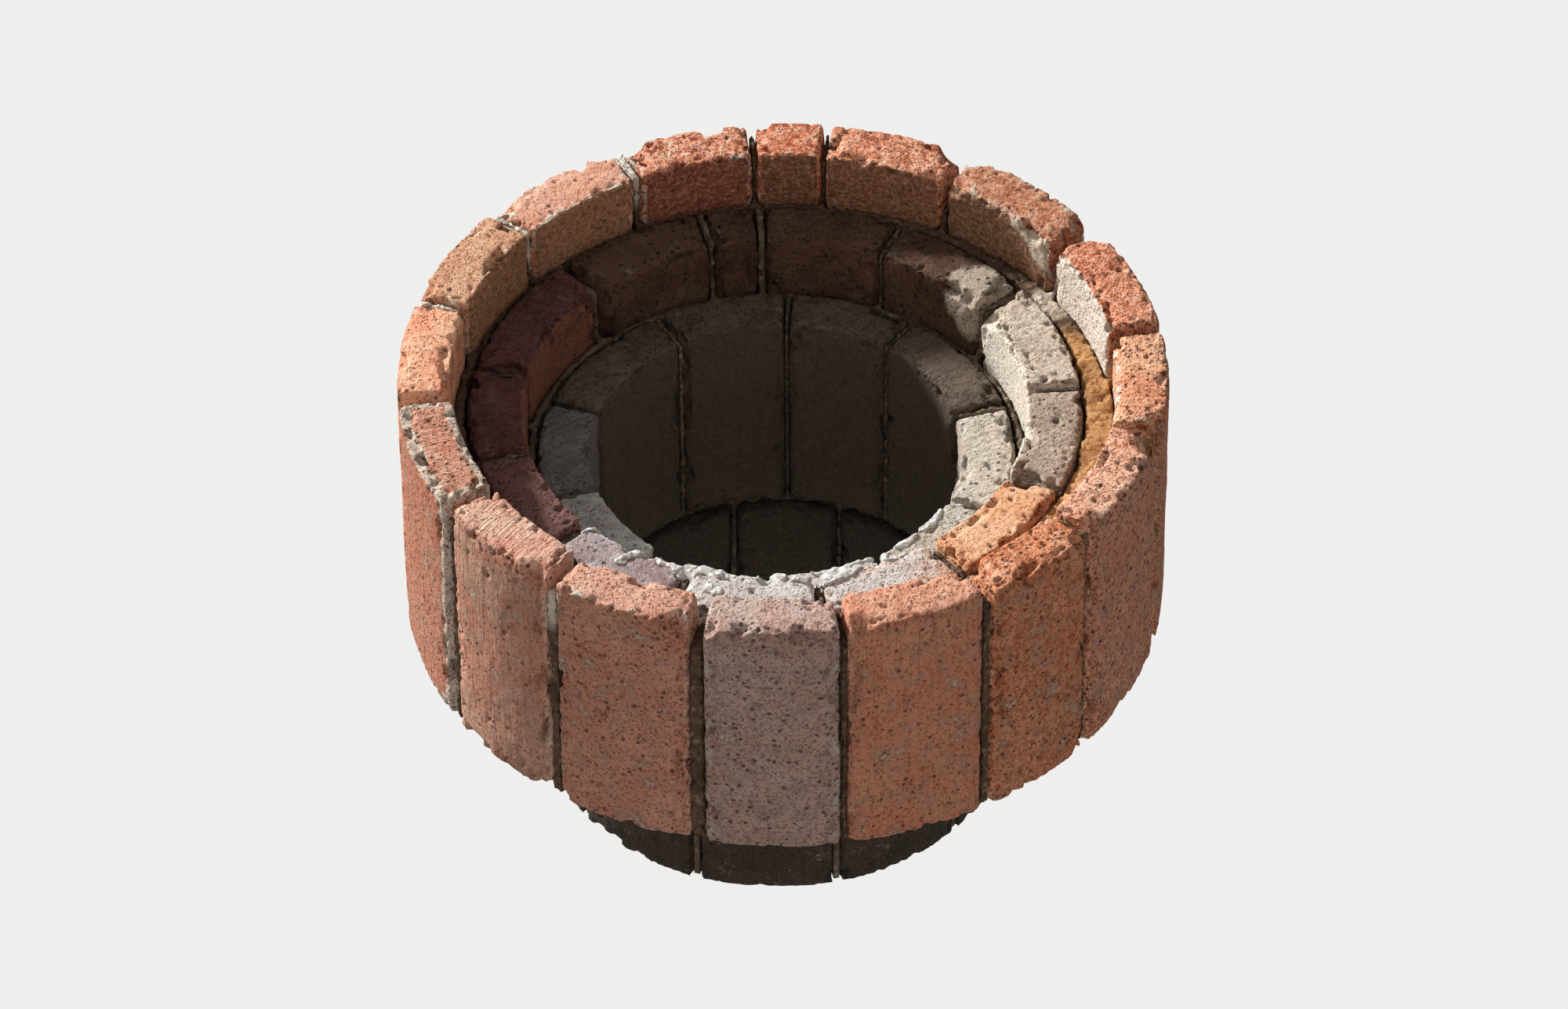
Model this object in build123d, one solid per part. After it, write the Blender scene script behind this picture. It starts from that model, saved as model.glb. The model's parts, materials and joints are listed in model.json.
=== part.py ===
from build123d import *
from collections import namedtuple
import math
import os

# An oculus: a round window opening framed by three stepped rings of bricks, bedded in lime mortar.
# Sizes are in millimetres. Angles are in degrees, clockwise from the top as seen from outside.
# X runs to the right of someone facing the window, Y runs into the wall and Z is up.
# The origin is the centre of the outer ring, on the plane of the wall's face.

# Sizes along a radius, from the clear opening outwards
CLEAR_RADIUS = 175.0
INNER_THICKNESS = 55.0
MIDDLE_THICKNESS = 57.0
OUTER_THICKNESS = 57.0
BED = 2.0  # the thinnest mortar between two rings

# Sizes into the wall
BRICK_LENGTH = 280.0
INNER_LENGTH = 230.0
REAR_LENGTH = 130.0
MIDDLE_STEP = 54.0  # from the outer ring's face back to the middle ring's
INNER_STEP = 61.0  # from the middle ring's face back to the inner ring's
ROW_JOINT = 10.0  # mortar between the inner ring's two rows

# Each ring was laid a little off the centre of the ring around it, along X and Z
MIDDLE_DRIFT = (-8.0, 11.0)
INNER_DRIFT = (1.0, 5.0)

# Mortar stands back from the bricks that it joins
SOFFIT_RAKE = 6.0  # from the inside of the ring
OUTSIDE_RAKE = 6.0  # from the outside of the outer ring
BED_RAKE = 7.0  # the bed between two rings, behind the inner one's face
ROW_RAKE = 9.0  # the upright bed between two rows, from the inside and outside of the ring
BACK_RAKE = 4.0  # from the back end of the bricks

# Wear blunts the edges of a brick
CORNER = 4.5  # the long edges that show
ARRIS = 3.5  # the edges round the face

# A joint between two bricks: where it is, its width at each side of the ring, and how deep
# the mortar stands behind the ring's face
Joint = namedtuple("Joint", "angle inside outside rake")

OUTER_JOINTS = [
    Joint(-5.0, 3.0, 5.0, 12.0),
    Joint(7.0, 3.0, 4.0, 12.0),
    Joint(29.5, 5.0, 9.0, 42.0),
    Joint(55.5, 4.0, 22.0, 36.0),
    Joint(80.5, 4.0, 5.0, 14.0),
    Joint(104.0, 4.0, 8.0, 16.0),
    Joint(128.5, 3.0, 5.0, 8.0),
    Joint(148.5, 4.0, 9.0, 18.0),
    Joint(171.0, 3.0, 6.0, 20.0),
    Joint(193.0, 8.0, 13.0, 34.0),
    Joint(216.5, 6.0, 11.0, 22.0),
    Joint(239.0, 6.0, 10.0, 24.0),
    Joint(264.0, 6.0, 9.0, 20.0),
    Joint(286.5, 5.0, 7.0, 5.0),
    Joint(309.5, 6.0, 8.0, 5.0),
    Joint(333.5, 6.0, 11.0, 5.0),
]
MIDDLE_JOINTS = [
    Joint(-3.0, 6.0, 7.0, 4.0),
    Joint(24.5, 3.0, 5.0, 8.0),
    Joint(53.5, 6.0, 9.0, 14.0),
    Joint(85.0, 3.0, 4.0, 6.0),
    Joint(114.0, 3.0, 4.0, 6.0),
    Joint(143.0, 5.0, 7.0, 8.0),
    Joint(171.0, 5.0, 7.0, 8.0),
    Joint(199.0, 5.0, 7.0, 8.0),
    Joint(227.0, 5.0, 7.0, 8.0),
    Joint(255.0, 4.0, 6.0, 7.0),
    Joint(281.0, 4.0, 5.0, 7.0),
    Joint(315.5, 6.0, 9.0, 16.0),
    Joint(345.5, 4.0, 6.0, 4.0),
]
INNER_JOINTS = [
    Joint(3.0, 3.0, 5.0, 8.0),
    Joint(35.5, 3.0, 4.0, 6.0),
    Joint(74.0, 4.0, 6.0, 6.0),
    Joint(113.5, 3.0, 5.0, 7.0),
    Joint(148.0, 4.0, 6.0, 8.0),
    Joint(183.0, 4.0, 6.0, 8.0),
    Joint(218.0, 4.0, 6.0, 8.0),
    Joint(253.0, 4.0, 6.0, 8.0),
    Joint(288.0, 4.0, 6.0, 9.0),
    Joint(329.5, 5.0, 7.0, 10.0),
]

# How far each brick falls short of its ring's inside, and how far its face stands back
Setting = namedtuple("Setting", "short back")

OUTER_SETTINGS = [
    Setting(1.0, 0.0),
    Setting(0.0, 1.0),
    Setting(0.0, 2.0),
    Setting(1.0, 0.0),
    Setting(4.0, 3.0),
    Setting(6.0, 1.0),
    Setting(4.0, 4.0),
    Setting(2.0, 1.0),
    Setting(1.0, 2.0),
    Setting(4.0, 1.0),
    Setting(2.0, 0.0),
    Setting(1.0, 3.0),
    Setting(3.0, 1.0),
    Setting(0.0, 0.0),
    Setting(0.0, 2.0),
    Setting(2.0, 1.0),
]
MIDDLE_SETTINGS = [
    Setting(0.0, 1.0),
    Setting(1.0, 3.0),
    Setting(2.0, 0.0),
    Setting(0.0, 2.0),
    Setting(1.0, 0.0),
    Setting(0.0, 2.0),
    Setting(1.0, 1.0),
    Setting(0.0, 3.0),
    Setting(1.0, 1.0),
    Setting(0.0, 0.0),
    Setting(2.0, 2.0),
    Setting(0.0, 3.0),
    Setting(1.0, 2.0),
]
# The opening is rubbed to a true circle, so no brick of the inner ring falls short of it
INNER_SETTINGS = [
    Setting(0.0, 1.0),
    Setting(0.0, 0.0),
    Setting(0.0, 2.0),
    Setting(0.0, 1.0),
    Setting(0.0, 0.0),
    Setting(0.0, 2.0),
    Setting(0.0, 1.0),
    Setting(0.0, 0.0),
    Setting(0.0, 3.0),
    Setting(0.0, 1.0),
]

# Front corners that broke off: the ring and the brick's number, whether the corner is where the
# brick starts or ends, the side of the ring it is on, and how far in from the corner it broke
Break = namedtuple("Break", "ring brick end side size")

BREAKS = [
    Break("outer", 2, "end", "outside", 7.0),
    Break("outer", 3, "start", "inside", 5.0),
    Break("outer", 3, "end", "outside", 6.0),
    Break("outer", 4, "start", "outside", 8.0),
    Break("outer", 4, "start", "inside", 6.0),
    Break("outer", 5, "end", "outside", 6.0),
    Break("outer", 6, "start", "outside", 12.0),
    Break("outer", 6, "end", "outside", 8.0),
    Break("outer", 7, "start", "outside", 6.0),
    Break("outer", 7, "end", "inside", 5.0),
    Break("outer", 8, "start", "outside", 7.0),
    Break("outer", 8, "end", "outside", 6.0),
    Break("outer", 9, "end", "outside", 5.0),
    Break("outer", 10, "start", "outside", 8.0),
    Break("outer", 11, "start", "outside", 6.0),
    Break("outer", 12, "end", "outside", 6.0),
    Break("outer", 15, "start", "outside", 5.0),
    Break("outer", 16, "start", "outside", 9.0),
    Break("middle", 3, "start", "inside", 12.0),
    Break("middle", 11, "end", "inside", 9.0),
]

Ring = namedtuple("Ring", "name centre inside outside face length joints settings")


def lay_rings():
    """The rings from the outside in, each sized to fit inside the one before it."""
    inner_outside = CLEAR_RADIUS + INNER_THICKNESS
    middle_inside = inner_outside + BED + math.hypot(*INNER_DRIFT)
    middle_outside = middle_inside + MIDDLE_THICKNESS
    outer_inside = middle_outside + BED + math.hypot(*MIDDLE_DRIFT)
    outer_outside = outer_inside + OUTER_THICKNESS

    inner_centre = (MIDDLE_DRIFT[0] + INNER_DRIFT[0], MIDDLE_DRIFT[1] + INNER_DRIFT[1])
    inner_face = MIDDLE_STEP + INNER_STEP
    rear_face = inner_face + INNER_LENGTH + ROW_JOINT

    outer = Ring("outer", (0.0, 0.0), outer_inside, outer_outside, 0.0, BRICK_LENGTH,
                 OUTER_JOINTS, OUTER_SETTINGS)
    middle = Ring("middle", MIDDLE_DRIFT, middle_inside, middle_outside, MIDDLE_STEP, BRICK_LENGTH,
                  MIDDLE_JOINTS, MIDDLE_SETTINGS)
    inner = Ring("inner", inner_centre, CLEAR_RADIUS, inner_outside, inner_face, INNER_LENGTH,
                 INNER_JOINTS, INNER_SETTINGS)
    rear = Ring("rear", inner_centre, CLEAR_RADIUS, inner_outside, rear_face, REAR_LENGTH,
                staggered(INNER_JOINTS), flush(INNER_SETTINGS))
    return outer, middle, inner, rear


def staggered(joints):
    """Joints that fall half-way along the bricks between the given ones, with no rake."""
    shifted = []
    for index, joint in enumerate(joints):
        following = joints[(index + 1) % len(joints)]
        gap = (following.angle - joint.angle) % 360.0
        shifted.append(joint._replace(angle=joint.angle + gap / 2, rake=0.0))
    return shifted


def flush(settings):
    """The same bricks with their faces in one plane."""
    return [setting._replace(back=0.0) for setting in settings]


def polar(centre, radius, angle):
    """A point of the XZ plane, by its angle clockwise from the top."""
    turn = math.radians(angle)
    return (centre[0] + radius * math.sin(turn), centre[1] + radius * math.cos(turn))


def side_line(ring, index, side):
    """The flat that a brick turns to a joint, from the ring's inside to its outside.
    Side is 1 for the brick after the joint and -1 for the one before it."""
    joint = ring.joints[index % len(ring.joints)]
    ends = []
    for radius, width in ((ring.inside, joint.inside), (ring.outside, joint.outside)):
        shift = math.degrees(side * width / 2 / radius)
        ends.append(polar(ring.centre, radius, joint.angle + shift))
    return ends


def along(line, share):
    """The point at a share of the way along a line."""
    start, end = line
    return (start[0] + share * (end[0] - start[0]), start[1] + share * (end[1] - start[1]))


def prism(outline, front, back):
    """A flat outline, X across and Z up, run into the wall from front to back."""
    return Pos(0, front, 0) * extrude(Plane.XZ * outline, amount=back - front, dir=(0, 1, 0))


def brick_outline(ring, index):
    """A brick's end: cut to the curve, tapered to its joints, its showing corners blunt."""
    thickness = ring.outside - ring.inside
    low = ring.settings[index].short / thickness
    start = side_line(ring, index, 1)
    end = side_line(ring, index + 1, -1)
    start_inside, end_inside = along(start, low), along(end, low)
    start_outside, end_outside = start[1], end[1]

    start_angle = ring.joints[index].angle
    end_angle = ring.joints[(index + 1) % len(ring.joints)].angle
    middle_angle = start_angle + ((end_angle - start_angle) % 360.0) / 2
    outside_middle = polar(ring.centre, ring.outside, middle_angle)
    inside_middle = polar(ring.centre, ring.inside + ring.settings[index].short, middle_angle)
    outline = make_face([
        Line(start_inside, start_outside),
        ThreePointArc(start_outside, outside_middle, end_outside),
        Line(end_outside, end_inside),
        ThreePointArc(end_inside, inside_middle, start_inside),
    ])
    worn = [start_inside, end_inside]
    if ring.name == "outer":
        worn += [start_outside, end_outside]
    corners = [outline.vertices().sort_by_distance((*place, 0))[0] for place in worn]
    return chamfer(corners, CORNER)


def brick(ring, index):
    """One brick of a ring, with blunt edges round its face and its broken corners off."""
    front = ring.face + ring.settings[index].back
    solid = prism(brick_outline(ring, index), front, ring.face + ring.length)
    if ring.name == "rear":
        return solid
    face_edges = solid.faces().sort_by(Axis.Y)[0].edges()
    solid = chamfer(face_edges, ARRIS)
    for broken in BREAKS:
        if (broken.ring, broken.brick) == (ring.name, index + 1):
            solid = split(solid, bisect_by=break_plane(ring, index, broken), keep=Keep.BOTTOM)
    return solid


def break_plane(ring, index, broken):
    """The plane along which a corner broke, facing out of the brick evenly on its three sides."""
    side, joint_index = (1, index) if broken.end == "start" else (-1, index + 1)
    inside, outside = side_line(ring, joint_index, side)
    corner = outside if broken.side == "outside" else inside
    out = Vector(corner[0] - ring.centre[0], 0, corner[1] - ring.centre[1]).normalized()
    across = Vector(-side * out.Z, 0, side * out.X)
    if broken.side == "inside":
        out = -out
    facing = (out + across + Vector(0, -1, 0)).normalized()
    front = ring.face + ring.settings[index].back
    return Plane(Vector(corner[0], front, corner[1]) - facing * broken.size, z_dir=facing)


def joint_outline(ring, index, over):
    """The mortar of a joint seen end on, between the flats of two bricks and short of the inside.
    Over is how far it also stands short of the outside."""
    thickness = ring.outside - ring.inside
    short = max(ring.settings[index - 1].short, ring.settings[index].short) + SOFFIT_RAKE
    inside_share, outside_share = short / thickness, 1.0 - over / thickness
    before = side_line(ring, index, -1)
    after = side_line(ring, index, 1)
    return make_face(Polyline(
        along(before, inside_share),
        along(before, outside_share),
        along(after, outside_share),
        along(after, inside_share),
        close=True,
    ))


def joint_outlines(ring):
    over = OUTSIDE_RAKE if ring.name in ("outer", "rear") else 0.0
    return [joint_outline(ring, index, over) for index in range(len(ring.joints))]


def bed_outline(around, within):
    """What fills the room between two rings seen end on, out into the joints of the one around."""
    around_middle = (around.inside + around.outside) / 2
    within_middle = (within.inside + within.outside) / 2
    room = Pos(*around.centre) * Circle(around_middle) - Pos(*within.centre) * Circle(within_middle)
    for ring in (around, within):
        room -= [brick_outline(ring, index) for index in range(len(ring.joints))]
    return room


def ring_mortar(around, within):
    """A ring's joints and the bed inside it, in one piece."""
    front = within.face + BED_RAKE
    back = around.face + around.length - BACK_RAKE
    joints = joint_outlines(around)
    bed = bed_outline(around, within) + joints - joint_outlines(within)
    bed = bed.faces().sort_by(SortBy.AREA)[-1]
    mortar = prism(bed, front, back)
    tongues = []
    for joint, outline in zip(around.joints, joints):
        tongues.append(prism(outline, around.face + joint.rake, front))
    return mortar + tongues


def row_mortar(inner, rear):
    """The upright bed between the inner ring's two rows, with the joints of both on it."""
    front = inner.face + inner.length
    ring = Circle(rear.outside - ROW_RAKE) - Circle(rear.inside + ROW_RAKE)
    mortar = prism(Pos(*rear.centre) * ring, front, rear.face)
    for joint, outline in zip(inner.joints, joint_outlines(inner)):
        mortar += prism(outline, inner.face + joint.rake, front)
    for outline in joint_outlines(rear):
        mortar += prism(outline, rear.face, rear.face + rear.length - BACK_RAKE)
    return mortar


def main():
    os.makedirs("parts", exist_ok=True)
    rings = lay_rings()
    for ring in rings:
        for index in range(len(ring.joints)):
            export_step(brick(ring, index), f"parts/{ring.name}_brick_{index + 1:02d}.step")
    outer, middle, inner, rear = rings
    export_step(ring_mortar(outer, middle), "parts/outer_mortar.step")
    export_step(ring_mortar(middle, inner), "parts/middle_mortar.step")
    export_step(row_mortar(inner, rear), "parts/inner_mortar.step")


main()
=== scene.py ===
import json
import math

import bpy
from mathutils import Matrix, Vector, kdtree, noise


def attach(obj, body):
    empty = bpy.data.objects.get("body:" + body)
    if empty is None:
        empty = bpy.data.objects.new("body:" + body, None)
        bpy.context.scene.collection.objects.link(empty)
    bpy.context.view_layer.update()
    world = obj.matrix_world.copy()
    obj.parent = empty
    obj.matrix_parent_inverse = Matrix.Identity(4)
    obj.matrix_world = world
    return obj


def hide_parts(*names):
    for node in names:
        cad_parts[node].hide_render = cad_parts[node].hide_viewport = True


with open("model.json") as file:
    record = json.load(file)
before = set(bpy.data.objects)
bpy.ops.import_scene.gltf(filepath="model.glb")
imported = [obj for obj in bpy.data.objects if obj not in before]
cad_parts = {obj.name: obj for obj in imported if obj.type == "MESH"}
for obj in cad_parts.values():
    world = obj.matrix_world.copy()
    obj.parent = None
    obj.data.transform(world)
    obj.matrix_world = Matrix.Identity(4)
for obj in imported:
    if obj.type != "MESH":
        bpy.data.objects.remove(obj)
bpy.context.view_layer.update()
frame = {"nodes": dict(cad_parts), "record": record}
nodes = frame["nodes"]
slotOf = {part["node"]: part["material_slot"] for part in frame["record"]["subparts"]}
scene = bpy.context.scene
scene.view_settings.view_transform = "Standard"
print("frame loaded,", len(nodes), "nodes")


view = {
    "place": (0.028, -5.337, -6.045),  # from the street, well below the window
    "aim": (0.0, 0.176, 0.0),
    "lens": 196.0,
    "sight": 400.0,  # how far the camera sees
}
light = {
    "keyFrom": (-0.685, -0.395, 0.612),  # upper left
    "keyStrength": 7.2,
    "keyAngle": 5.0,
    "fillFrom": (0.22, -0.76, -0.61),  # low on the right, as from the street
    "fillStrength": 0.70,
    "fillAngle": 80.0,
}


def addCamera():
    data = bpy.data.cameras.new("camera")
    data.lens = view["lens"]
    data.clip_end = view["sight"]
    eye = bpy.data.objects.new("camera", data)
    eye.location = view["place"]
    eye.rotation_euler = (Vector(view["aim"]) - eye.location).to_track_quat("-Z", "Y").to_euler()
    scene.collection.objects.link(eye)
    scene.camera = eye


def addSun(name):
    data = bpy.data.lights.new(name, "SUN")
    data.energy = light[name + "Strength"]
    data.angle = math.radians(light[name + "Angle"])
    lamp = bpy.data.objects.new(name + "Light", data)
    lamp.rotation_euler = Vector(light[name + "From"]).to_track_quat("Z", "Y").to_euler()
    scene.collection.objects.link(lamp)


addCamera()
addSun("key")
addSun("fill")
print("camera and lamps set")


def tint(red, green, blue):  # a colour as a screen shows it, made linear
    return tuple(c / 255 / 12.92 if c < 11 else ((c / 255 + 0.055) / 1.055) ** 2.4
                 for c in (red, green, blue)) + (1.0,)


class Socket:  # wraps an output, so that plain arithmetic adds the Math nodes
    def __init__(self, finish, out):
        self.finish = finish
        self.out = out

    def calc(self, operation, first, second):
        return self.finish.node("ShaderNodeMath", {"operation": operation}, {0: first, 1: second})

    def __add__(self, other):
        return self.calc("ADD", self, other)

    def __radd__(self, other):
        return self.calc("ADD", other, self)

    def __sub__(self, other):
        return self.calc("SUBTRACT", self, other)

    def __rsub__(self, other):
        return self.calc("SUBTRACT", other, self)

    def __mul__(self, other):
        return self.calc("MULTIPLY", self, other)

    def __rmul__(self, other):
        return self.calc("MULTIPLY", other, self)

    def above(self, low, high):  # 0 under low, 1 over high, soft between
        return self.finish.node("ShaderNodeMapRange", {"interpolation_type": "SMOOTHSTEP"},
                                {"Value": self, "From Min": low, "From Max": high})

    def below(self, low, high):
        return 1.0 - self.above(low, high)

    def other(self, name):  # another output of the same node
        return Socket(self.finish, self.out.node.outputs[name])


class Finish:  # a material, or the world, as a tree of nodes
    def __init__(self, name, kind=bpy.data.materials):
        self.owner = kind.new(name)
        self.owner.use_nodes = True
        self.tree = self.owner.node_tree
        self.tree.nodes.clear()
        if kind == bpy.data.materials:
            self.place = self.node("ShaderNodeTexCoord", output="Object")

    def node(self, kind, settings=None, inputs=None, output=0):
        made = self.tree.nodes.new(kind)
        for key, value in (settings or {}).items():
            setattr(made, key, value)
        for key, value in (inputs or {}).items():
            if isinstance(value, Socket):
                self.tree.links.new(value.out, made.inputs[key])
            else:
                made.inputs[key].default_value = value
        return Socket(self, made.outputs[output]) if made.outputs else None

    def turned(self, angle, size):  # coordinates turned about Y, then stretched to the given sizes
        return self.node("ShaderNodeMapping", {"vector_type": "TEXTURE"},
                         {"Vector": self.place, "Rotation": (0.0, math.radians(angle), 0.0), "Scale": size})

    def cloud(self, place, scale, detail, roughness=0.55, output=0):
        return self.node("ShaderNodeTexNoise", {}, {"Vector": place, "Scale": scale, "Detail": detail,
                                                    "Roughness": roughness}, output)

    def shaken(self, scale, amount):  # coordinates pushed about, so that a pattern loses its roundness
        push = self.node("ShaderNodeVectorMath", {"operation": "SUBTRACT"},
                         {0: self.cloud(self.place, scale, 2.0, 0.5, "Color"), 1: (0.5, 0.5, 0.5)})
        push = self.node("ShaderNodeVectorMath", {"operation": "SCALE"}, {0: push, "Scale": amount})
        return self.node("ShaderNodeVectorMath", {"operation": "ADD"}, {0: self.place, 1: push})

    def pits(self, scale, size, luck):  # 1 in a round pit; the higher luck is, the fewer there are
        away = self.node("ShaderNodeTexVoronoi", {}, {"Vector": self.place, "Scale": scale})
        return away.below(size * 0.45, size) * away.other("Color").above(luck - 0.03, luck + 0.03)

    def near(self, spot, inside, outside):  # 1 close to a spot, 0 away from it
        away = self.node("ShaderNodeVectorMath", {"operation": "DISTANCE"},
                         {0: self.place, 1: spot}, "Value")
        return away.below(inside, outside)

    def mix(self, share, first, second):
        return self.node("ShaderNodeMix", {"data_type": "RGBA"}, {0: share, 6: first, 7: second}, 2)

    def read(self, name):
        return self.node("ShaderNodeAttribute", {"attribute_name": name}, output="Fac")

    def close(self, colour, roughness, height, depth):
        bump = self.node("ShaderNodeBump", {}, {"Height": height, "Distance": depth, "Strength": 1.0})
        shader = self.node("ShaderNodeBsdfPrincipled", {}, {
            "Base Color": colour, "Roughness": roughness, "Specular IOR Level": 0.2, "Normal": bump})
        self.node("ShaderNodeOutputMaterial", {}, {"Surface": shader})
        return self.owner


def useOnly(piece):
    bpy.ops.object.select_all(action="DESELECT")
    piece.select_set(True)
    bpy.context.view_layer.objects.active = piece


def copyPiece(source, newName):
    piece = source.copy()
    piece.data = source.data.copy()
    piece.name = piece.data.name = newName
    for key in list(piece.keys()):
        del piece[key]
    piece.parent = None
    scene.collection.objects.link(piece)
    useOnly(piece)
    return piece


def copyNode(name, newName):  # a CAD node's copy, its loose triangles merged
    piece = copyPiece(nodes[name], newName)
    bpy.ops.object.mode_set(mode="EDIT")
    bpy.ops.mesh.select_all(action="SELECT")
    bpy.ops.mesh.remove_doubles(threshold=0.00002)
    bpy.ops.mesh.customdata_custom_splitnormals_clear()
    bpy.ops.object.mode_set(mode="OBJECT")
    return piece


def modify(piece, kind, **settings):
    made = piece.modifiers.new(kind.lower(), kind)
    for key, value in settings.items():
        setattr(made, key, value)
    bpy.ops.object.modifier_apply(modifier=made.name)


def selectFaces(piece, wanted):
    bpy.ops.object.mode_set(mode="EDIT")
    bpy.ops.mesh.select_mode(type="FACE")
    bpy.ops.mesh.select_all(action="DESELECT")
    bpy.ops.object.mode_set(mode="OBJECT")
    for face in piece.data.polygons:
        face.select = wanted(face.center, face.normal)
    bpy.ops.object.mode_set(mode="EDIT")


def weigh(piece, name, values):
    group = piece.vertex_groups.new(name=name)
    for index, value in enumerate(values):
        if value > 0.004:
            group.add([index], min(1.0, value), "REPLACE")


def keep(piece, name, values):  # a number per vertex, which the finish reads
    piece.data.attributes.new(name, "FLOAT", "POINT").data.foreach_set("value", values)


def dress(piece, finish, slot, *replaced):
    piece.vertex_groups.clear()
    piece.data.materials.clear()
    piece.data.materials.append(finish)
    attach(piece, "root")
    if replaced:
        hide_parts(*replaced)


def blend(first, second, share):  # of two colours
    return tuple(a + (b - a) * share for a, b in zip(first, second))


def soft(low, high, value):  # 0 at low and 1 at high, whichever is larger
    share = min(1.0, max(0.0, (value - low) / (high - low)))
    return share * share * (3 - 2 * share)


def cloudTexture(name, size, depth):
    made = bpy.data.textures.new(name, "CLOUDS")
    made.noise_scale = size
    made.noise_depth = depth
    return made


def measureRing(prefix):  # centre, radii and depth of a ring, from its nodes
    points = [vertex.co for name in nodes if name.startswith(prefix)
              for vertex in nodes[name].data.vertices]
    spanX = [point.x for point in points]
    spanZ = [point.z for point in points]
    centre = Vector(((max(spanX) + min(spanX)) / 2, 0.0, (max(spanZ) + min(spanZ)) / 2))
    radii = [math.hypot(point.x - centre.x, point.z - centre.z) for point in points]
    depths = [point.y for point in points]
    return {"centre": centre, "inside": min(radii), "outside": max(radii), "front": min(depths),
            "bare": prefix in ("outer_brick", "rear_brick")}  # mortar lies round the other rings


rings = {name: measureRing(name + "_brick") for name in ("outer", "middle", "inner", "rear")}
for name, ring in rings.items():
    print(name, "ring, radii", round(ring["inside"], 4), round(ring["outside"], 4))


def onRing(ring, angle, radius, depth):  # angle clockwise from the top, as seen from outside
    turn = math.radians(angle)
    return Vector((ring["centre"].x + radius * math.sin(turn), depth,
                   ring["centre"].z + radius * math.cos(turn)))


wear = {
    "voxel": 0.0042,
    "fineZone": 0.026,  # the mesh is finer this far behind a brick's face
    "sharp": 0.35,  # an arris is where the faces turn by more than this, in radians
    "edgeStep": 0.002,
    "edgeReach": 0.015,
    "faceFade": (0.030, 0.012),  # the wear fades out between these depths behind the face
    "sideFade": (0.012, 0.006),  # and between these distances from the reveal and the outside
    "skinFade": (0.006, 0.001),  # what the finish takes for the reveal and the outside
    "core": 0.015,  # chips go towards a core this far inside the brick
    "chipScales": (27.0, 88.0, 160.0),  # coarse, fine and notched
    "blunt": 0.04,
    "crumble": 0.26,
    "chips": 0.60,
    "wavy": -0.0018,
    "wavySize": 0.055,
    "rough": -0.0014,
    "roughSize": 0.007,
    "pits": -0.0034,
    "seed": 8,  # of noise_vector, which else starts from the clock
    "pitScale": 125.0,
    "pitShake": (110.0, 0.55),  # scale and reach of what makes them uneven
    "pitSize": (0.16, 0.36),  # the smallest, and how much larger they get, in cells
    "pitFloor": 0.35,  # the share of its size where a pit is at its deepest
    "pitShare": 0.3,  # a look's pits times this are hollows in the mesh
    "rearPits": 0.1,  # the same in the rear row
    "calmReveal": 0.85,  # how much shallower the hollows are on the reveal
    "smoothing": 0.35,
}
noise.seed_set(wear["seed"])
wavyTexture = cloudTexture("wavy", wear["wavySize"], 2)
roughTexture = cloudTexture("rough", wear["roughSize"], 3)


def edgePoints(piece):
    bends = {}
    mesh = piece.data
    for face in mesh.polygons:
        for key in face.edge_keys:
            bends.setdefault(key, []).append(face.normal)
    points = []
    for (first, last), normals in bends.items():
        if len(normals) == 2 and normals[0].dot(normals[1]) < math.cos(wear["sharp"]):
            start, end = mesh.vertices[first].co, mesh.vertices[last].co
            count = max(1, int((end - start).length / wear["edgeStep"]))
            points += [start.lerp(end, index / count) for index in range(count + 1)]
    return points


def edgeTree(piece):
    points = edgePoints(piece)
    tree = kdtree.KDTree(len(points))
    for index, point in enumerate(points):
        tree.insert(point, index)
    tree.balance()
    return tree


def shrinkToCore(piece, margin):
    # every side moves in by the margin, along the brick's own axes
    middle = sum((vertex.co for vertex in piece.data.vertices), Vector()) / len(piece.data.vertices)
    outward = Vector((middle.x, 0.0, middle.z)).normalized()
    along = Vector((outward.z, 0.0, -outward.x))
    for axis in (outward, along, Vector((0.0, 1.0, 0.0))):
        reach = [(vertex.co - middle).dot(axis) for vertex in piece.data.vertices]
        low, high = min(reach), max(reach)
        factor = (high - low - 2 * margin) / (high - low)
        for vertex, value in zip(piece.data.vertices, reach):
            vertex.co += axis * ((low + margin + (value - low) * factor) - value)


def chipping(point, edge, amount):
    # the offsets keep the three noises apart
    coarseScale, fineScale, notchScale = wear["chipScales"]
    coarse = noise.noise(point * coarseScale)
    fine = noise.noise(point * fineScale + Vector((7.0, 3.0, 5.0)))
    notch = noise.noise(point * notchScale + Vector((2.0, 9.0, 4.0)))
    share = wear["blunt"] + wear["crumble"] * soft(0.0, 0.6, 0.6 * fine + 0.7 * notch) * amount
    share += wear["chips"] * soft(0.28, 0.50, coarse + 0.40 * fine) * amount
    return edge * share


def pitting(point, amount):
    # round hollows, no two of one size, with bare patches between
    shakeScale, shakeReach = wear["pitShake"]
    shaken = point * wear["pitScale"] + noise.noise_vector(point * shakeScale) * shakeReach
    away, centres = noise.voronoi(shaken)
    luck = 0.5 + 0.5 * noise.cell(centres[0] * 9.0)
    smallest, spread = wear["pitSize"]
    size = smallest + spread * (0.5 + 0.5 * noise.cell(centres[0] * 5.0))
    return soft(size, size * wear["pitFloor"], away[0]) if luck > 1.0 - amount else 0.0


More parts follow.
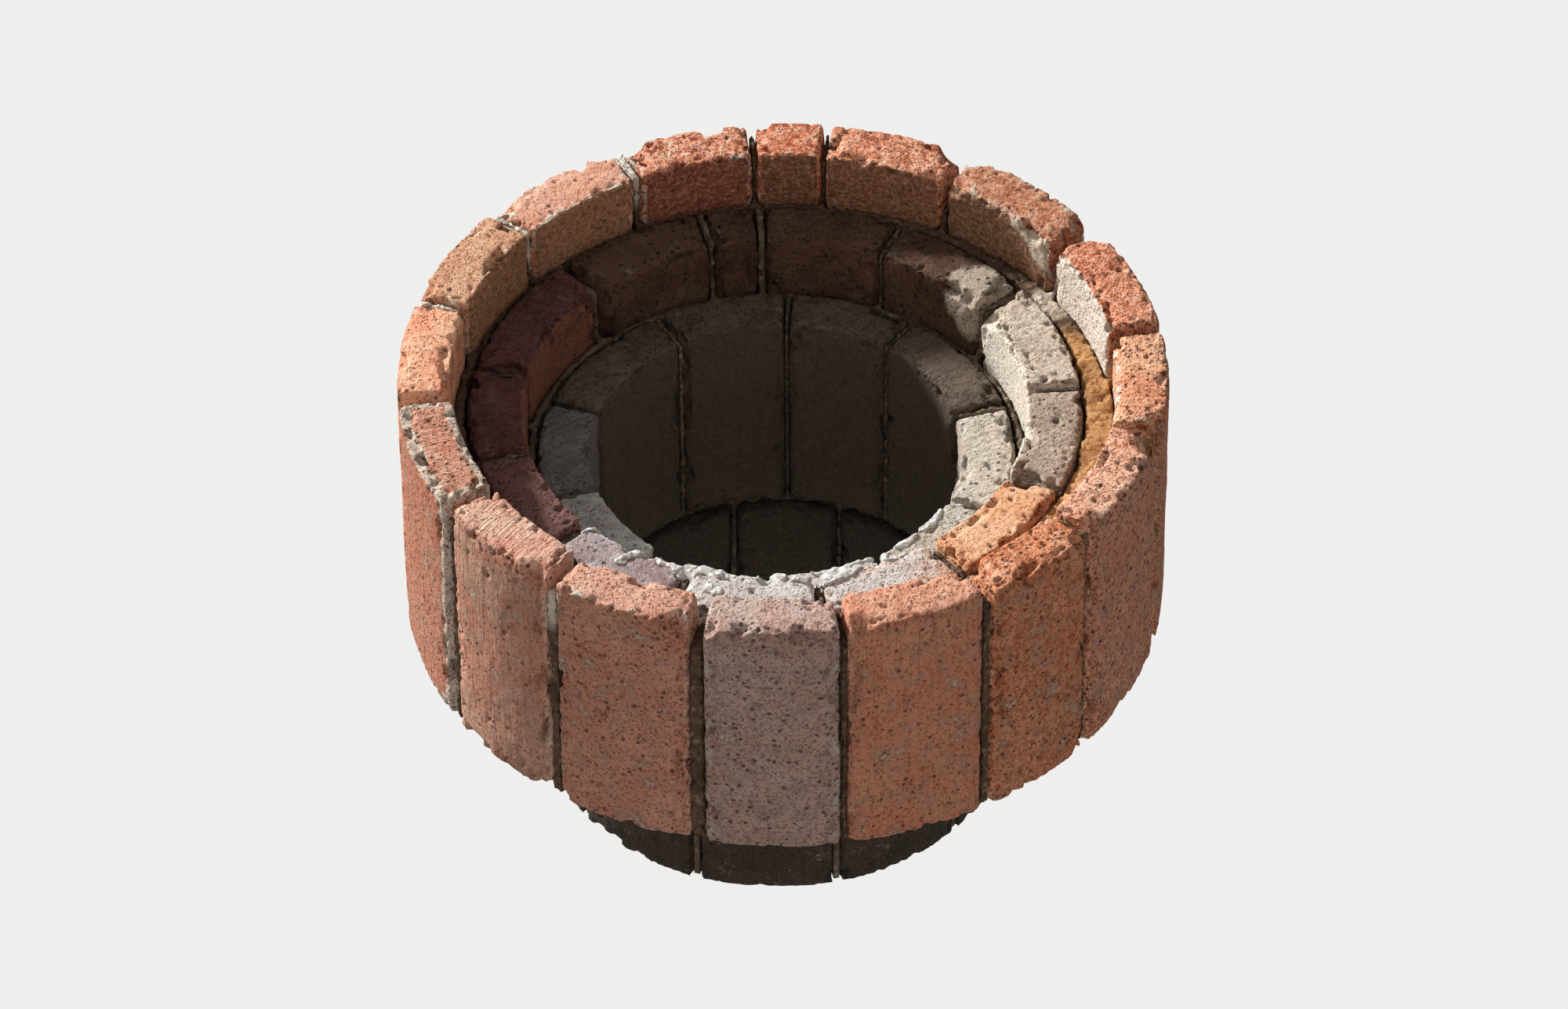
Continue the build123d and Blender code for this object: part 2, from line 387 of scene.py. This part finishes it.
def wornBrick(node, ring, finish, amount, pits, bites=()):
    piece = copyNode(node, node + "_worn")
    edges = edgeTree(piece)
    core = copyNode(node, "core")
    shrinkToCore(core, wear["core"])
    useOnly(piece)
    modify(piece, "REMESH", mode="VOXEL", voxel_size=wear["voxel"], use_smooth_shade=True)
    selectFaces(piece, lambda place, normal: place.y < ring["front"] + wear["fineZone"])
    bpy.ops.mesh.subdivide(number_cuts=1)
    bpy.ops.object.mode_set(mode="OBJECT")

    faceFar, faceNear = wear["faceFade"]
    sideFar, sideNear = wear["sideFade"]
    skinFar, skinNear = wear["skinFade"]
    edge, reveal, outside, exposed, chipped, pitted = [], [], [], [], [], []
    for vertex in piece.data.vertices:
        point = vertex.co
        radius = math.hypot(point.x - ring["centre"].x, point.z - ring["centre"].z)
        near = 1.0 - soft(0.0, wear["edgeReach"], edges.find(point)[2])
        exposed.append(max(
            soft(ring["front"] + faceFar, ring["front"] + faceNear, point.y),
            soft(ring["inside"] + sideFar, ring["inside"] + sideNear, radius),
            soft(ring["outside"] - sideFar, ring["outside"] - sideNear, radius) * ring["bare"]))
        bite = max((soft(size, 0.3 * size, (point - spot).length) * depth for spot, size, depth in bites),
                   default=0.0)
        edge.append(near)
        chipped.append(max(bite, chipping(point, near, amount)))
        reveal.append(soft(ring["inside"] + skinFar, ring["inside"] + skinNear, radius))
        outside.append(soft(ring["outside"] - skinFar, ring["outside"] - skinNear, radius))
        pitted.append(pitting(point, pits) * (1.0 - wear["calmReveal"] * reveal[-1]))
    weigh(piece, "chipped", chipped)
    weigh(piece, "hollows", pitted)
    weigh(piece, "exposed", exposed)  # the sides stay against the mortar
    for texture, strength in ((wavyTexture, wear["wavy"]), (roughTexture, wear["rough"])):
        modify(piece, "DISPLACE", texture=texture, texture_coords="LOCAL", mid_level=0.0,
               strength=strength, vertex_group="exposed")
    modify(piece, "DISPLACE", mid_level=0.0, strength=wear["pits"], vertex_group="hollows")
    modify(piece, "SHRINKWRAP", target=core, wrap_method="NEAREST_SURFACEPOINT", vertex_group="chipped")
    # thin spikes come off
    modify(piece, "SMOOTH", factor=wear["smoothing"], iterations=1, vertex_group="exposed")
    bpy.data.objects.remove(core)
    dress(piece, finish, slotOf[node], node)
    keep(piece, "edge", edge)
    keep(piece, "reveal", reveal)
    keep(piece, "outside", outside)
    keep(piece, "pitted", pitted)
    return piece


bumpDepth = 0.0034  # of the bricks and of the mortar
fired = {  # noise scales, from broad to fine; a pattern with three sizes is stretched
    "blotch": 15.0,
    "shake": 42.0,
    "shakeBy": 0.012,
    "patch": 46.0,
    "crackle": 105.0,
    "holes": 150.0,
    "stipple": 230.0,
    "pinholes": 330.0,
    "grain": 720.0,
    "streak": (0.010, 0.090, 0.010),
    "scored": (0.055, 0.055, 0.0030),
}


def brickFinish(name, look):
    f = Finish(name)
    loose = f.shaken(fired["shake"], fired["shakeBy"])
    blotch = f.cloud(f.place, fired["blotch"], 2.0)
    patch = f.cloud(loose, fired["patch"], 5.0, 0.65)
    stipple = f.cloud(f.place, fired["stipple"], 4.0, 0.78)
    grain = f.cloud(f.place, fired["grain"], 3.0, 0.65)
    streak = f.cloud(f.turned(0.0, fired["streak"]), 1.0, 4.0, 0.6)
    crackle = f.cloud(loose, fired["crackle"], 3.0, 0.6)
    pinholes = f.pits(fired["pinholes"], 0.46, 0.80 - 0.38 * look["pits"])
    holes = f.pits(fired["holes"], 0.36, 0.84 - 0.28 * look["pits"])

    colour = f.mix(blotch.above(0.38, 0.62), look["tone"], look["second"])
    colour = f.mix(patch.above(0.50, 0.70) * look["pale"], colour, look["dust"])
    colour = f.mix(patch.below(0.34, 0.46) * 0.35, colour, look["dark"])
    colour = f.mix(stipple.above(0.54, 0.66) * 0.50, colour, look["dust"])
    colour = f.mix(crackle.below(0.38, 0.47) * look["crackle"], colour, look["deep"])
    colour = f.mix(crackle.above(0.53, 0.62) * (0.6 * look["crackle"]), colour, look["dust"])
    relief = patch * 0.8 + stipple * 1.5 + grain * 0.30 + crackle * (2.0 * look["crackle"])
    if look["lines"] is not None:
        scored = f.cloud(f.turned(look["lines"], fired["scored"]), 1.0, 3.0, 0.6)
        relief = relief + scored * look["score"]
        colour = f.mix(scored.below(0.36, 0.48) * 0.5, colour, look["dark"])

    edge, reveal = f.read("edge"), f.read("reveal")
    lime = (edge * look["smear"] + (patch - 0.5) * 1.3).above(0.30, 0.42)
    washedAndShaded = (reveal * look["washAndShade"] + (patch - 0.5) * 0.8).above(0.34, 0.50)
    bedded = (f.read("outside") * 0.40 + (patch - 0.5) * 1.5 + (stipple - 0.5) * 1.2).above(0.50, 0.72)
    colour = f.mix(f.read("outside") * 0.5, colour, look["dark"])  # never washed by rain
    colour = f.mix(bedded * 0.60, colour, f.mix(blotch.above(0.4, 0.6), look["mortar"], look["lime"]))
    colour = f.mix(lime * 0.85, colour, look["lime"])
    # the reveal colour: limewash on the pale reveals, and on the upper and left reveals a darker colour that
    # is painted shade
    washAndShade = f.mix(streak.above(0.46, 0.62) * 0.7, look["limewashAndShade"],
                 blend(look["limewashAndShade"], look["dark"], 0.22))
    washAndShade = f.mix(stipple.above(0.50, 0.64) * 0.5, washAndShade, blend(look["limewashAndShade"], look["dust"], 0.60))
    colour = f.mix(washedAndShaded * 0.92, colour, washAndShade)
    # painted light: cream patches where the sun falls, on the reveal alone or over the whole brick
    for spot, reach, onFace in look["paintedSunlit"]:
        here = f.near(spot, reach, reach * 2.2) + (patch - 0.5) * 1.1 + (stipple - 0.5) * 0.5
        lit = f.mix(stipple.above(0.46, 0.62) * 0.6, look["sunlitCream"],
                    blend(look["sunlitCream"], look["dark"], 0.25))
        colour = f.mix(here.above(0.30, 0.62) * (reveal * (1.0 - onFace) + onFace) * 0.9, colour, lit)
    relief = relief + lime * 0.25 + bedded * 0.35 + streak * 0.5

    pores = stipple.below(0.30 + 0.08 * look["pits"], 0.40 + 0.07 * look["pits"])
    colour = f.mix(pores * (0.20 + 0.30 * look["pits"]) * (1.0 - washedAndShaded * 0.8), colour, look["deep"])
    colour = f.mix(pinholes * (0.75 - washedAndShaded * 0.66), colour, look["deep"])
    colour = f.mix(holes * (0.80 - washedAndShaded * 0.62), colour, look["pit"])
    colour = f.mix(f.read("pitted") * 0.40, colour, look["pit"])
    relief = relief - pinholes * 0.9 - holes * 1.5 - pores * 0.4
    return f.close(colour, 0.84 + grain * 0.14, relief, bumpDepth * look["relief"])


baseLook = {  # where a brick's own look says nothing
    "dust": tint(250, 214, 188),
    "dark": tint(178, 108, 80),
    "pit": tint(96, 54, 40),
    "deep": tint(158, 82, 56),
    "lime": tint(222, 208, 190),
    "limewashAndShade": tint(226, 212, 194),
    "mortar": tint(186, 158, 128),
    "sunlitCream": tint(236, 218, 194),
    "pits": 0.5,
    "pale": 0.50,
    "smear": 0.15,  # lime along the arrises
    "washAndShade": 0.1,  # how much of the reveal takes its reveal colour, which is limewash on the pale reveals and painted shade on the dark ones
    "lines": None,  # the angle of the moulding's scratches
    "score": 1.0,
    "crackle": 0.15,
    "relief": 1.0,
    "chips": 1.0,
    "bites": (),  # angle, radius, depth behind the face, size, share of the way to the core
    "paintedSunlit": (),  # painted sunlit patches, cream where the light falls: angle, radius, depth behind the wall's face, reach, 0 on the reveal or 1 all over
}


def ringBrick(ring, number, look):
    look = {**baseLook, **look}
    look["paintedSunlit"] = [(onRing(rings[ring], angle, radius, depth), reach, onFace)
                       for angle, radius, depth, reach, onFace in look["paintedSunlit"]]
    bites = [(onRing(rings[ring], angle, radius, rings[ring]["front"] + depth), size, share)
             for angle, radius, depth, size, share in look["bites"]]
    finish = brickFinish(f"{ring}Brick{number:02d}", look)
    return wornBrick(f"{ring}_brick_{number:02d}", rings[ring], finish, look["chips"],
                     look["pits"] * wear["pitShare"], bites)


# the reveals of bricks 1 to 3 and 13 to 16 are darker than their limewash, as painted shade
outerLooks = {
    1: {"tone": tint(246, 156, 113), "second": tint(232, 136, 93), "pits": 0.75, "chips": 0.5, "crackle": 0.8,
        "limewashAndShade": tint(138, 95, 65), "washAndShade": 0.75},
    2: {"tone": tint(248, 168, 127), "second": tint(233, 144, 107), "pits": 0.8, "chips": 0.8, "crackle": 0.7,
        "limewashAndShade": tint(158, 110, 80), "washAndShade": 0.65,
        "bites": ((28.5, 0.366, 0.0, 0.028, 0.8), (27.5, 0.312, 0.0, 0.016, 0.5),
                  (14, 0.310, 0.0, 0.012, 0.5))},
    3: {"tone": tint(215, 151, 115), "second": tint(201, 130, 97), "pits": 0.7, "smear": 0.3, "crackle": 0.5,
        "limewashAndShade": tint(152, 112, 82), "washAndShade": 0.75,
        # painted sunlit strip along the lower end of the reveal's arris
        "paintedSunlit": ((47, 0.309, 0.0, 0.010, 0), (51, 0.309, 0.0, 0.016, 0), (55, 0.309, 0.006, 0.022, 0)),
        "bites": ((31, 0.312, 0.0, 0.020, 0.6), (54, 0.362, 0.0, 0.020, 0.6),
                  (31.5, 0.366, 0.008, 0.018, 0.6))},
    4: {"tone": tint(250, 172, 132), "second": tint(246, 154, 114), "pits": 1.0, "washAndShade": 0.95,
        "crackle": 0.45, "limewashAndShade": tint(250, 240, 224),
        "bites": ((57, 0.366, 0.0, 0.020, 0.7), (57.5, 0.312, 0.0, 0.018, 0.6))},
    5: {"tone": tint(250, 190, 148), "second": tint(250, 168, 125), "pits": 0.9, "washAndShade": 0.95,
        "limewashAndShade": tint(250, 238, 222), "sunlitCream": tint(250, 236, 218),
        # painted sunlit cream along the reveal's arris
        "paintedSunlit": tuple((angle, 0.307, 0.004, 0.009, 1) for angle in range(84, 104, 4)),
        "bites": ((102, 0.365, 0.0, 0.020, 0.6),
                  *((angle, 0.308, 0.0, 0.020, 0.55) for angle in range(83, 103, 3)))},
    6: {"tone": tint(254, 194, 160), "second": tint(254, 172, 136), "pits": 0.9, "washAndShade": 0.9,
        "bites": ((106, 0.366, 0.0, 0.030, 0.8), (127, 0.364, 0.0, 0.022, 0.7))},
    7: {"tone": tint(246, 167, 121), "second": tint(235, 146, 97), "pits": 0.7, "crackle": 0.5,
        "washAndShade": 0.3, "pale": 0.6, "bites": ((147, 0.312, 0.0, 0.018, 0.6), (130, 0.364, 0.0, 0.018, 0.6))},
    8: {"tone": tint(237, 170, 138), "second": tint(227, 153, 121), "pits": 0.35, "lines": -75, "score": 0.5,
        "chips": 0.7, "bites": ((169, 0.363, 0.0, 0.022, 0.6),)},
    9: {"tone": tint(213, 185, 171), "second": tint(205, 165, 151), "dust": tint(222, 202, 192), "pits": 0.7,
        "pale": 0.7, "smear": 0.3, "chips": 0.8, "deep": tint(150, 108, 92), "dark": tint(158, 124, 110),
        "bites": ((192, 0.364, 0.0, 0.020, 0.6),)},
    10: {"tone": tint(234, 178, 152), "second": tint(220, 157, 133), "pits": 0.5, "smear": 0.25,
         "bites": ((195, 0.364, 0.0, 0.022, 0.7), (214, 0.314, 0.0, 0.016, 0.6))},
    11: {"tone": tint(235, 199, 174), "second": tint(235, 175, 150), "pits": 0.3, "lines": -52, "score": 2.0,
         "chips": 1.2, "bites": ((219, 0.364, 0.0, 0.020, 0.7),)},
    12: {"tone": tint(219, 162, 134), "second": tint(218, 141, 111), "pits": 0.6, "lines": -18, "score": 1.8,
         "smear": 0.7, "chips": 1.3, "bites": ((252, 0.311, 0.0, 0.012, 0.5), (260, 0.364, 0.0, 0.018, 0.6))},
    13: {"tone": tint(249, 185, 147), "second": tint(249, 166, 128), "pits": 0.4, "pale": 0.6, "chips": 0.6,
         "relief": 0.7, "limewashAndShade": tint(176, 114, 82), "washAndShade": 0.6},
    14: {"tone": tint(218, 167, 133), "second": tint(206, 150, 115), "pits": 0.5, "pale": 0.4, "smear": 0.25,
         "relief": 0.65, "dust": tint(240, 200, 172), "limewashAndShade": tint(152, 108, 76), "washAndShade": 0.8,
         "bites": ((289, 0.364, 0.0, 0.016, 0.6),)},
    15: {"tone": tint(227, 172, 144), "second": tint(223, 155, 127), "pits": 0.4, "smear": 0.3,
         "relief": 0.65, "dust": tint(240, 196, 174), "limewashAndShade": tint(156, 112, 80), "washAndShade": 0.8,
         "bites": ((312, 0.364, 0.0, 0.018, 0.6), (331, 0.364, 0.0, 0.016, 0.6))},
    16: {"tone": tint(250, 175, 139), "second": tint(238, 150, 115), "pits": 0.8, "smear": 0.3,
         "crackle": 1.0, "limewashAndShade": tint(156, 88, 64), "washAndShade": 0.6,
         "bites": ((335.5, 0.366, 0.0, 0.022, 0.7),)},
}
for number, look in outerLooks.items():
    ringBrick("outer", number, look)
print("outer ring done")

# the upper middle bricks are brown and the left ones dull purple-red, both darker than the bricks are, as
# painted shade
brownLook = {"tone": tint(104, 77, 60), "second": tint(88, 61, 48), "dust": tint(122, 97, 80),
             "dark": tint(74, 50, 38), "pit": tint(48, 32, 24), "deep": tint(68, 46, 34), "pits": 0.4,
             "limewashAndShade": tint(150, 124, 102), "lime": tint(146, 126, 106)}
darkRedLook = {"tone": tint(110, 69, 66), "second": tint(97, 58, 57), "dust": tint(136, 100, 90),
               "dark": tint(78, 48, 46), "pit": tint(50, 32, 30), "deep": tint(72, 44, 42), "pits": 0.4,
               "limewashAndShade": tint(146, 94, 70), "washAndShade": 0.55, "lime": tint(150, 122, 108)}
greyLook = {"tone": tint(224, 208, 188), "second": tint(206, 188, 168), "dust": tint(238, 226, 208),
            "dark": tint(156, 136, 118), "pit": tint(80, 62, 50), "deep": tint(140, 120, 102),
            "limewashAndShade": tint(244, 232, 214), "washAndShade": 0.9, "pits": 0.45, "pale": 0.4,
            "lines": -40, "score": 0.5}
orangeLook = {"tone": tint(252, 200, 156), "second": tint(246, 178, 130), "washAndShade": 0.5, "pits": 0.5}
crustedLook = {"tone": tint(222, 215, 208), "second": tint(204, 190, 182), "dust": tint(236, 232, 227),
               "dark": tint(150, 138, 130), "pit": tint(104, 92, 86), "deep": tint(146, 132, 124),
               "washAndShade": 0.9, "pits": 0.3, "pale": 0.8, "limewashAndShade": tint(222, 217, 210)}
middleLooks = {
    1: brownLook,
    # brick 2 is brown as painted shade, with a painted sunlit cream patch at its lower right end
    2: {**brownLook, "sunlitCream": tint(200, 184, 164), "paintedSunlit": ((54, 0.255, 0.060, 0.032, 1),),
        "bites": ((50, 0.236, 0.0, 0.020, 0.7),)},
    3: {**greyLook, "chips": 1.3, "bites": ((55, 0.238, 0.0, 0.030, 0.9), (55, 0.262, 0.0, 0.018, 0.6))},
    4: {**greyLook, "tone": tint(196, 176, 158), "second": tint(176, 154, 138)},
    5: orangeLook,
    6: {**crustedLook, "second": tint(206, 158, 128)},
    7: crustedLook,
    # 8 and 9 are pink-grey and dull red, partly as painted shade of the lower left
    8: {**crustedLook, "tone": tint(184, 166, 166), "second": tint(162, 134, 134)},
    9: {**darkRedLook, "tone": tint(150, 110, 102), "second": tint(130, 88, 82)},
    10: darkRedLook,
    11: {**darkRedLook, "chips": 1.3, "bites": ((314, 0.240, 0.0, 0.024, 0.8),)},
    12: brownLook,
    13: brownLook,
}
middleBricks = {number: ringBrick("middle", number, look) for number, look in middleLooks.items()}
print("middle ring done")

limewashLook = {"tone": tint(218, 206, 190), "second": tint(202, 188, 170), "dust": tint(230, 221, 208),
                "dark": tint(148, 132, 116), "pit": tint(90, 76, 62), "deep": tint(140, 124, 108),
                "limewashAndShade": tint(188, 174, 156), "lime": tint(214, 205, 190), "washAndShade": 0.75, "pits": 0.3,
                "pale": 0.5, "smear": 0.2, "lines": -30, "score": 0.6, "chips": 0.8}
# the upper and left inner bricks: the limewash darkened as painted shade of the tube's depth
shadedLimewashLook = {**limewashLook, "tone": tint(110, 95, 81), "second": tint(94, 79, 67),
             "dust": tint(126, 112, 98), "dark": tint(68, 55, 45), "limewashAndShade": tint(90, 76, 64),
             "deep": tint(62, 50, 41), "lime": tint(120, 108, 95)}
# the lower left inner brick is bluish grey as painted shade
blueGreyLook = {**limewashLook, "tone": tint(144, 137, 136), "second": tint(124, 116, 117),
                "dust": tint(166, 160, 158), "dark": tint(90, 80, 79), "limewashAndShade": tint(112, 103, 98),
                "deep": tint(86, 77, 76)}
# the rear row darker still, as painted shade deep in the tube
deepShadeLook = {**shadedLimewashLook, "tone": tint(94, 80, 68), "second": tint(79, 66, 56), "dust": tint(108, 95, 83),
             "limewashAndShade": tint(80, 67, 56), "dark": tint(57, 46, 37), "deep": tint(53, 42, 33)}
innerLooks = {1: shadedLimewashLook, 2: shadedLimewashLook, 3: limewashLook, 4: {**limewashLook, "tone": tint(212, 204, 192)},
              5: crustedLook, 6: crustedLook, 7: {**crustedLook, "second": tint(160, 146, 142)},
              8: blueGreyLook, 9: shadedLimewashLook, 10: shadedLimewashLook}
innerBricks = {number: ringBrick("inner", number, look) for number, look in innerLooks.items()}
rearShadeLook = {**baseLook, **deepShadeLook}
rearShadeFinish = brickFinish("sootyBrick", rearShadeLook)
for number in range(1, 11):
    wornBrick(f"rear_brick_{number:02d}", rings["rear"], rearShadeFinish, rearShadeLook["chips"], wear["rearPits"])
print("inner ring and rear row done")


gritty = {  # noise scales of the mortar
    "patch": 30.0,
    "shake": 70.0,
    "shakeBy": 0.010,
    "pebbles": 115.0,
    "crumb": 140.0,
    "sand": 520.0,
}


def mortarFinish(name, look):
    f = Finish(name)
    loose = f.shaken(gritty["shake"], gritty["shakeBy"])
    patch = f.cloud(loose, gritty["patch"], 3.0)
    crumb = f.cloud(f.place, gritty["crumb"], 5.0, 0.75)
    sand = f.cloud(f.place, gritty["sand"], 3.0, 0.7)
    pebble = f.node("ShaderNodeTexVoronoi", {}, {"Vector": loose, "Scale": gritty["pebbles"]})
    stone = pebble.below(0.18, 0.52)
    colour = f.mix(patch.above(0.40, 0.62), look["tone"], look["second"])
    rest = 1.0
    for angle, radius, depth, reach, tone, shade in look["spots"]:
        here = f.near(onRing(rings["outer"], angle, radius, depth), reach, reach * 1.6)
        colour = f.mix(here * 0.9, colour, f.mix(patch.above(0.42, 0.6), tone, shade))
        rest = (1.0 - here * 0.7) * rest  # the sand's own colours show less on the spots
    colour = f.mix(crumb.above(0.54, 0.70) * 0.6 * rest, colour, look["dust"])
    colour = f.mix(stone * pebble.other("Color").above(0.52, 0.60) * 0.55 * rest, colour, look["dust"])
    colour = f.mix(crumb.below(0.34, 0.46) * 0.6 * rest, colour, look["dark"])
    colour = f.mix(stone.below(0.0, 0.20) * 0.35 * rest, colour, look["dark"])
    colour = f.mix(sand.above(0.60, 0.70) * 0.5 * rest, colour, look["dust"])
    relief = crumb * 1.8 + stone * 0.9 + sand * 0.35
    return f.close(colour, 0.88 + sand * 0.10, relief, bumpDepth)


pale, greyed = tint(252, 243, 228), tint(232, 219, 200)
mortarLooks = {
    "earth_mortar": {
        # brown earth mortar, darker than it is, as painted shade of the deep joints
        "tone": tint(118, 92, 72), "second": tint(94, 72, 56), "dust": tint(160, 138, 116),
        "dark": tint(62, 45, 35),
        "spots": (  # angle, radius, depth behind the wall's face, reach, two colours
            (108, 0.300, 0.06, 0.10, tint(216, 163, 108), tint(190, 136, 86)),
            # pale lime at these joints, made lighter than it is as painted light against the shade of the
            # sunk joints
            (333.5, 0.340, 0.0, 0.036, pale, greyed),
            (309.5, 0.340, 0.0, 0.040, pale, greyed),
            (286.5, 0.340, 0.0, 0.036, pale, greyed),
            (104.0, 0.320, 0.01, 0.024, pale, greyed),
            (216.5, 0.350, 0.02, 0.034, pale, greyed),
            (194.0, 0.316, 0.0, 0.020, pale, greyed),
            (76.0, 0.302, 0.06, 0.040, tint(212, 158, 102), tint(178, 126, 78)),
            (58.0, 0.304, 0.06, 0.018, tint(216, 200, 180), tint(190, 170, 148)),
        )},
    "lime_mortar": {
        # lime mortar, darkened as painted shade of the deep joints
        "tone": tint(132, 114, 96), "second": tint(108, 90, 74), "dust": tint(170, 154, 134),
        "dark": tint(70, 55, 44), "spots": ()},
}
mortarFinishes = {name: mortarFinish(name, look) for name, look in mortarLooks.items()}
crumbly = {
    "facing": 0.6,  # how squarely a showing face looks out of the wall
    "curved": 0.7,  # and to or from the ring's middle
    "outerBand": 0.012,
    "innerBand": 0.020,
    "bed": 0.0050,  # the plain mortar lies this far behind the solid's face
    "sunk": 0.0010,  # and the crumbly skin this far
    "smoothAngle": 0.5,
    "thickness": 0.006,
    "voxel": 0.0026,
    "lumps": 0.0074,
    "lumpSize": 0.012,
    "grit": 0.0036,
    "gritSize": 0.005,
    "triangles": 190000,  # the most that a skin may have
}
lumpTexture = cloudTexture("lumps", crumbly["lumpSize"], 2)
gritTexture = cloudTexture("grit", crumbly["gritSize"], 2)


def countTriangles(piece):
    return sum(len(face.vertices) - 2 for face in piece.data.polygons)


def sink(piece, showing, depth):
    # the faces that show move back behind the bricks, and keep their outline
    front, sides = set(), {}
    for face in piece.data.polygons:
        if showing(face.center, face.normal):
            for index in face.vertices:
                if face.normal.y < -crumbly["facing"]:
                    front.add(index)
                else:
                    sides[index] = face.normal.copy()
    for index in front:
        piece.data.vertices[index].co.y += depth
    for index, normal in sides.items():
        piece.data.vertices[index].co -= normal * depth


def rakedMortar(name):
    node = name + "_mortar"
    ring = rings[name]

    def showing(place, normal):
        out = Vector((place.x - ring["centre"].x, 0.0, place.z - ring["centre"].z))
        facing = normal.dot(out.normalized())
        outer = facing > crumbly["curved"] and out.length > ring["outside"] - crumbly["outerBand"]
        inner = facing < -crumbly["curved"] and out.length < ring["inside"] + crumbly["innerBand"]
        return normal.y < -crumbly["facing"] or (outer and ring["bare"]) or inner

    bed = copyNode(node, node + "_bed")
    sink(bed, showing, crumbly["bed"])
    bpy.ops.object.shade_smooth_by_angle(angle=crumbly["smoothAngle"])

    piece = copyNode(node, node + "_skin")
    sink(piece, showing, crumbly["sunk"])
    selectFaces(piece, lambda place, normal: not showing(place, normal))
    bpy.ops.mesh.delete(type="FACE")
    bpy.ops.object.mode_set(mode="OBJECT")
    modify(piece, "SOLIDIFY", thickness=crumbly["thickness"], offset=-1.0, use_rim=True)
    modify(piece, "REMESH", mode="VOXEL", voxel_size=crumbly["voxel"], use_smooth_shade=True)
    modify(piece, "DISPLACE", texture=lumpTexture, texture_coords="LOCAL", mid_level=0.6,
           strength=crumbly["lumps"])
    modify(piece, "DISPLACE", texture=gritTexture, texture_coords="LOCAL", mid_level=0.5,
           strength=crumbly["grit"])
    before = countTriangles(piece)
    modify(piece, "DECIMATE", ratio=min(1.0, crumbly["triangles"] / before))
    dress(piece, mortarFinishes[slotOf[node]], slotOf[node])
    dress(bed, mortarFinishes[slotOf[node]], slotOf[node], node)
    print(node, "skin,", before, "triangles before and", countTriangles(piece), "after")


for name in ("outer", "middle", "inner"):
    rakedMortar(name)


# dirt and old lime, lying along the arris of the low bricks
dirt = {
    "reach": 0.020,
    "fringe": (0.55, 1.6),  # its least reach, and how far it wanders
    "fringeScale": 42.0,
    "thickness": 0.0025,
    "voxel": 0.0018,
    "lumps": 0.0062,
    "lumpSize": 0.0055,
}
dirtTexture = cloudTexture("dirtLumps", dirt["lumpSize"], 3)
dirtFinish = mortarFinish("limeDirt", {
    "tone": tint(240, 238, 234), "second": tint(218, 213, 208), "dust": tint(248, 247, 245),
    "dark": tint(164, 155, 147), "spots": ()})


def crustOn(brick, ring):
    piece = copyPiece(brick, brick.name.replace("worn", "crust"))

    def bare(place, normal):
        out = math.hypot(place.x - ring["centre"].x, place.z - ring["centre"].z) - ring["inside"]
        least, wander = dirt["fringe"]
        spread = dirt["reach"] * (least + wander * noise.noise(place * dirt["fringeScale"]))
        return math.hypot(place.y - ring["front"], out) > spread

    selectFaces(piece, bare)
    bpy.ops.mesh.delete(type="FACE")
    bpy.ops.object.mode_set(mode="OBJECT")
    modify(piece, "SOLIDIFY", thickness=dirt["thickness"], offset=0.4, use_rim=True)
    modify(piece, "DISPLACE", texture=dirtTexture, texture_coords="LOCAL", mid_level=0.42,
           strength=dirt["lumps"])
    modify(piece, "REMESH", mode="VOXEL", voxel_size=dirt["voxel"], use_smooth_shade=True)
    dress(piece, dirtFinish, slotOf["inner_mortar"])


for number in (6, 7, 8):
    crustOn(middleBricks[number], rings["middle"])
for number in (4, 5, 6):
    crustOn(innerBricks[number], rings["inner"])
print("dirt done")


floorLook = {
    "size": 600.0,
    "height": -13.0,
    "colour": (0.50, 0.50, 0.49),
    "bounce": (0.34, 0.33, 0.32),  # what it throws back up, darker than it looks
    "mottle": 0.4,
    "bump": 0.001,
}


def addFloor():
    bpy.ops.object.select_all(action="DESELECT")
    bpy.ops.mesh.primitive_plane_add(size=floorLook["size"], location=(0, 0, floorLook["height"]))
    floor = bpy.context.object
    floor.name = "floor"
    f = Finish("floorPaint")
    mottle = f.cloud(f.place, floorLook["mottle"], 2.0)
    seen = f.node("ShaderNodeLightPath", output="Is Camera Ray")
    paint = f.mix(seen, (*floorLook["bounce"], 1.0), (*floorLook["colour"], 1.0))
    floor.data.materials.append(f.close(paint, 0.9, mottle, floorLook["bump"]))


skyLook = {
    "glow": (0.96, 0.98, 1.0),
    "strength": 0.20,
    "backdrop": (0.86, 0.86, 0.85),
}


def addSky():
    f = Finish("paleSky", bpy.data.worlds)
    seen = f.node("ShaderNodeLightPath", output="Is Camera Ray")
    mirrored = f.node("ShaderNodeLightPath", output="Is Glossy Ray")
    through = f.node("ShaderNodeLightPath", output="Is Transmission Ray")
    glow = f.node("ShaderNodeBackground", {}, {"Color": (*skyLook["glow"], 1.0),
                                               "Strength": skyLook["strength"]})
    plain = f.node("ShaderNodeBackground", {}, {"Color": (*skyLook["backdrop"], 1.0)})
    both = f.node("ShaderNodeMixShader", {}, {0: seen + mirrored + through, 1: glow, 2: plain})
    f.node("ShaderNodeOutputWorld", {}, {"Surface": both})
    scene.world = f.owner


addFloor()
addSky()
print("floor and sky done")

bpy.context.view_layer.update()
triangles = {piece.name: countTriangles(piece)
             for piece in scene.objects if piece.type == "MESH" and not piece.hide_render}
largest = max(triangles, key=triangles.get)
print("triangles", sum(triangles.values()), "largest", largest, triangles[largest])
